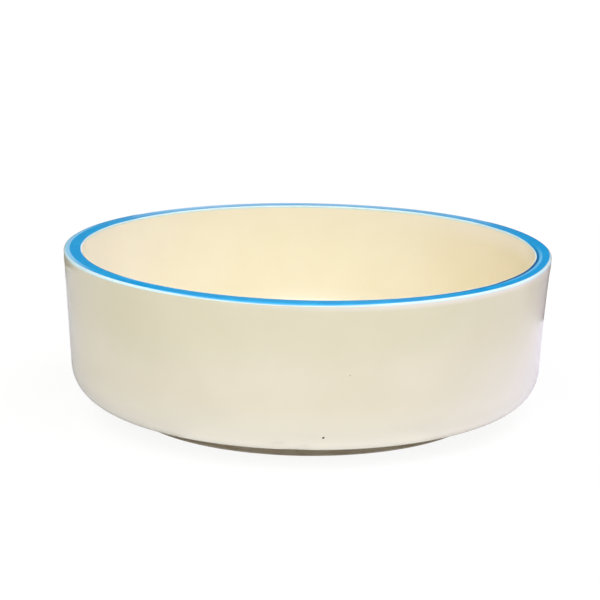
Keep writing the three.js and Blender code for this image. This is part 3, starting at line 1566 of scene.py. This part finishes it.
@dataclass
class KilnSpecks:
    """Iron specks in the outer glaze, each a low irregular blister."""

    coat: OuterGlaze
    specks: tuple[Speck, ...] = (
        Speck(4.20, 14.4 * MM, 1.0 * MM, 1.0),
        Speck(9.75, 39.0 * MM, 0.6 * MM, 0.25),
    )
    strays: int = 7
    least_stray: Speck = Speck(70.0, 16 * MM, 0.3 * MM, 0.2)
    most_stray: Speck = Speck(290.0, 60 * MM, 0.6 * MM, 0.8)
    seed: int = 41
    flatness: float = 0.16
    rings: int = 6
    sides: int = 12
    waves: tuple[tuple[float, int], ...] = ((0.12, 2), (0.08, 3))

    def all_specks(self) -> list[Speck]:
        """Specks seen at the front, and sparse small ones round the rest of the wall.

        Returns:
            The specks.
        """
        draw = np.random.default_rng(self.seed)
        low, high = self.least_stray, self.most_stray
        strays = [
            Speck(
                draw.uniform(low.azimuth, high.azimuth),
                draw.uniform(low.level, high.level),
                draw.uniform(low.width, high.width),
                draw.uniform(low.shade, high.shade),
            )
            for _ in range(self.strays)
        ]
        return [*self.specks, *strays]

    def blister(self, speck: Speck, draw: np.random.Generator) -> np.ndarray:
        """Points of one blister, as rings from the sunk pole to the top.

        Args:
            speck: The speck.
            draw: Source of its uneven outline.

        Returns:
            The points: a pole, the rings and the other pole.
        """
        centre, outward = self.coat.spot(speck.azimuth, speck.level)
        side = Vector((0.0, 0.0, 1.0)).cross(outward).normalized()
        axes = np.array([side, outward.cross(side), outward * self.flatness])
        angle = np.arange(self.sides) * FULL_TURN / self.sides
        uneven = np.ones_like(angle)
        for height, lobes in self.waves:
            uneven = uneven + height * np.cos(lobes * angle + draw.uniform(0, FULL_TURN))
        tilt = np.linspace(-QUARTER, QUARTER, self.rings + 2)[1:-1, None]
        flat = np.cos(tilt) * uneven
        rise = np.sin(tilt) * np.ones_like(flat)
        rings = np.stack([flat * np.cos(angle), flat * np.sin(angle), rise], -1).reshape(-1, 3)
        ball = np.concatenate([[[0.0, 0.0, -1.0]], rings, [[0.0, 0.0, 1.0]]])
        return np.array(centre) + speck.width / 2 * ball @ axes

    def faces(self, start: int) -> list[tuple[int, ...]]:
        """Faces of one blister.

        Args:
            start: Number of its first point.

        Returns:
            Point numbers of each face.
        """
        made = []
        first = start + 1
        top = first + (self.rings - 1) * self.sides
        last = top + self.sides
        for k in range(self.sides):
            after = (k + 1) % self.sides
            made.append((start, first + after, first + k))
            made.append((top + k, top + after, last))
            for low in range(first, top, self.sides):
                high = low + self.sides
                made.append((low + k, low + after, high + after, high + k))
        return made

    def build(self) -> bpy.types.Object:
        """Make all the specks as one piece and tie it to the frame.

        Returns:
            The finished object.
        """
        draw = np.random.default_rng(self.seed + 1)
        points, faces, shades = [], [], []
        for speck in self.all_specks():
            start = sum(len(part) for part in points)
            part = self.blister(speck, draw)
            points.append(part)
            faces.extend(self.faces(start))
            shades.append(np.full(len(part), speck.shade))
        made = add_object("iron_specks", np.concatenate(points), faces)
        set_mark(made, Mark.SHADE, np.concatenate(shades))
        made.data.materials.append(SpeckGlass().material())
        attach(made, "root")
        return made


@dataclass(frozen=True)
class SoftLamp:
    """A soft lamp, aimed at the bowl from an azimuth and a height in degrees."""

    name: str
    azimuth: float
    elevation: float
    power: float
    tint: tuple[float, float, float] = (1.0, 1.0, 1.0)
    distance: float = 1.5
    width: float = 1.0
    depth: float = 1.0
    aim_level: float = 50 * MM

    def build(self) -> bpy.types.Object:
        """Hang the lamp and aim it.

        Returns:
            The lamp.
        """
        data = bpy.data.lights.new(self.name, "AREA")
        data.shape = "RECTANGLE"
        data.size, data.size_y = self.width, self.depth
        data.energy = self.power
        data.color = self.tint
        lamp = bpy.data.objects.new(self.name, data)
        turn, rise = turn_to(self.azimuth), math.radians(self.elevation)
        flat = self.distance * math.cos(rise)
        lamp.location = (flat * math.cos(turn), flat * math.sin(turn), self.distance * math.sin(rise))
        way = Vector((0.0, 0.0, self.aim_level)) - lamp.location
        lamp.rotation_euler = way.to_track_quat("-Z", "Y").to_euler()
        bpy.context.scene.collection.objects.link(lamp)
        return lamp


@dataclass(frozen=True)
class Flag:
    """A plain card beside the bowl that only mirror rays see, which shades or lights the glaze."""

    name: str
    corners: tuple[tuple[float, float, float], ...]
    colour: Colour
    card_height: ClassVar[float] = 0.14
    mat_level: ClassVar[float] = 1 * MM

    @classmethod
    def standing(cls, name: str, start: Point, end: Point, colour: Colour) -> "Flag":
        """Card that stands on the floor, from one place to another."""
        top = cls.card_height
        return cls(name, ((*start, 0.0), (*end, 0.0), (*end, top), (*start, top)), colour)

    @classmethod
    def lying(cls, name: str, across: Span, along: Span, colour: Colour) -> "Flag":
        """Card that lies on the floor.

        Args:
            name: Name of the card.
            across: Its ends along X.
            along: Its ends along Y.
            colour: Its colour.

        Returns:
            The card.
        """
        (left, right), (front, back) = across, along
        around = ((left, front), (right, front), (right, back), (left, back))
        return cls(name, tuple((*corner, cls.mat_level) for corner in around), colour)

    def build(self) -> bpy.types.Object:
        """Set the card up.

        Returns:
            The card's object.
        """
        made = add_object(self.name, np.array(self.corners), [(0, 1, 2, 3)])
        material = bpy.data.materials.new(self.name)
        material.use_nodes = True
        surface = material.node_tree.nodes["Principled BSDF"]
        surface.inputs["Base Color"].default_value = self.colour
        surface.inputs["Roughness"].default_value = 1.0
        made.data.materials.append(material)
        made.visible_camera = False
        made.visible_diffuse = False
        made.visible_transmission = False
        made.visible_shadow = False
        return made


@dataclass
class Studio:
    """Pale floor, white backdrop under a dark ceiling, soft lamps and the photograph's camera."""

    floor_half: float = 6.0
    floor_gap: float = 0.05 * MM
    floor_albedo: float = 0.85
    floor_light: float = 0.36
    floor_tint: Colour = (0.90, 0.94, 1.0, 1.0)
    floor_glow: float = 0.90
    floor_shadow: float = 0.10
    shadow_reach: Span = (0.35, 0.70)
    ambient: float = 0.15
    backdrop_top: Span = (math.sin(math.radians(8.0)), math.sin(math.radians(12.0)))
    ceiling: float = 0.02
    eye: tuple[float, float, float] = (0.0, -0.89641, 0.25821)
    aim: tuple[float, float, float] = (-0.00267, 0.0, 0.04473)
    roll: float = math.radians(0.692)
    lens: float = 133.11
    lamps: tuple[SoftLamp, ...] = (
        SoftLamp("front_lamp", 0.0, 50.0, 7.8),
        SoftLamp("right_lamp", 60.0, 60.0, 11.1, (0.96, 0.92, 1.0)),
        SoftLamp("left_lamp", -42.0, 54.0, 7.8, (0.985, 0.965, 0.915)),
        SoftLamp("right_rear_lamp", 122.0, 45.0, 4.1, (0.97, 0.94, 1.0)),
        SoftLamp("left_rear_lamp", -122.0, 45.0, 3.8, (1.0, 0.97, 0.9)),
        SoftLamp("low_strip", 0.0, 14.5, 0.09, distance=1.2, width=0.45, depth=0.04),
    )
    flags: tuple[Flag, ...] = (
        Flag.standing("left_card", (-0.42, 0.15), (-0.09, 0.235), from_screen(68, 70, 76)),
        Flag.lying("left_mat", (-0.42, -0.05), (-0.14, 0.243), from_screen(190, 193, 210)),
        Flag.standing("right_card", (0.09, 0.175), (0.15, 0.125), from_screen(60, 54, 64)),
        Flag.standing("right_screen", (0.15, 0.125), (0.24, 0.05), from_screen(140, 130, 150)),
        Flag.lying("right_mat", (0.05, 0.42), (-0.12, 0.25), from_screen(230, 228, 243)),
    )

    def backdrop(self) -> None:
        """White backdrop with a dark ceiling above it, and a little light from all round."""
        world = bpy.data.worlds.new("soft_room")
        world.use_nodes = True
        graph = NodeGraph(world.node_tree)
        light = graph.nodes["Background"]
        graph.feed(light, {"Color": WHITE, "Strength": self.ambient})
        rays = graph.add("LightPath")
        rise = graph.add("SeparateXYZ", {0: graph.add("TexCoord")["Generated"]})["Z"]
        fading = graph.graded(rise, self.backdrop_top, (1.0, self.ceiling))
        bright = graph.larger(fading, rays["Is Camera Ray"])
        white = graph.add("Background", {"Color": WHITE, "Strength": bright})[0]
        seen = graph.larger(rays["Is Camera Ray"], rays["Is Glossy Ray"])
        seen = graph.larger(seen, rays["Is Transmission Ray"])
        room = graph.chosen(seen, light.outputs[0], white)
        graph.feed(graph.nodes["World Output"], {"Surface": room})
        bpy.context.scene.world = world

    def floor_finish(self) -> bpy.types.Material:
        """Pale floor, white to look at apart from the bowl's soft shadow, and clear from below.

        Returns:
            The material.
        """
        material = bpy.data.materials.new("pale_floor")
        material.use_nodes = True
        graph = NodeGraph(material.node_tree)
        graph.nodes.remove(graph.nodes["Principled BSDF"])
        matte = graph.add("BsdfDiffuse", {"Color": grey(self.floor_albedo)})[0]
        lit = graph.add("Emission", {"Color": self.floor_tint, "Strength": self.floor_light})[0]
        shadow = graph.add("BsdfDiffuse", {"Color": grey(self.floor_shadow)})[0]
        place = graph.add("TexCoord")["Object"]
        far = graph.add("VectorMath", {0: place}, operation="LENGTH")["Value"]
        strength = graph.graded(far, self.shadow_reach, (self.floor_glow, 1.0))
        glow = graph.add("Emission", {"Strength": strength})[0]
        seen = graph.add("LightPath")["Is Camera Ray"]
        above = graph.chosen(seen, graph.summed(matte, lit), graph.summed(shadow, glow))
        below = graph.add("NewGeometry")["Backfacing"]
        surface = graph.chosen(below, above, graph.add("BsdfTransparent")[0])
        graph.feed(graph.nodes["Material Output"], {"Surface": surface})
        return material

    def floor(self) -> bpy.types.Object:
        """Lay the floor just under the foot.

        Returns:
            The floor.
        """
        half = self.floor_half
        around = ((-half, -half), (half, -half), (half, half), (-half, half))
        corners = np.array([(*corner, -self.floor_gap) for corner in around])
        made = add_object("studio_floor", corners, [(0, 1, 2, 3)])
        made.data.materials.append(self.floor_finish())
        return made

    def camera(self) -> bpy.types.Object:
        """Set up the photograph's camera.

        Returns:
            The camera.
        """
        data = bpy.data.cameras.new("photo_camera")
        data.lens = self.lens
        made = bpy.data.objects.new("photo_camera", data)
        way = Vector(self.aim) - Vector(self.eye)
        level_view = way.to_track_quat("-Z", "Y").to_matrix()
        turned = level_view @ Matrix.Rotation(self.roll, 3, "Z")
        made.matrix_world = Matrix.Translation(self.eye) @ turned.to_4x4()
        bpy.context.scene.collection.objects.link(made)
        bpy.context.scene.camera = made
        return made

    def build(self) -> None:
        """Set up camera, floor, backdrop, lamps and flags."""
        bpy.context.scene.view_settings.view_transform = "Standard"
        self.camera()
        self.floor()
        self.backdrop()
        for fitting in (*self.lamps, *self.flags):
            fitting.build()


def main() -> None:
    """Build the studio and the bowl's pieces in order, and report each piece."""
    logging.basicConfig(level=logging.INFO, format="%(name)s: %(message)s")
    Studio().build()
    sizes = BowlSizes.from_frame()
    warp = FiredWarp()
    outer = OuterGlaze(sizes, warp)
    pieces = [
        ClayBody(sizes, warp),
        FootRing(sizes, warp),
        outer,
        LinerGlaze(sizes, warp),
        RimGlaze(sizes, warp),
        BaseGlaze(sizes, warp),
        KilnSpecks(outer),
    ]
    for piece in pieces:
        made = piece.build()
        log.info("%s: %d points, %d faces", made.name, len(made.data.vertices), len(made.data.polygons))


if __name__ == "__main__":
    main()
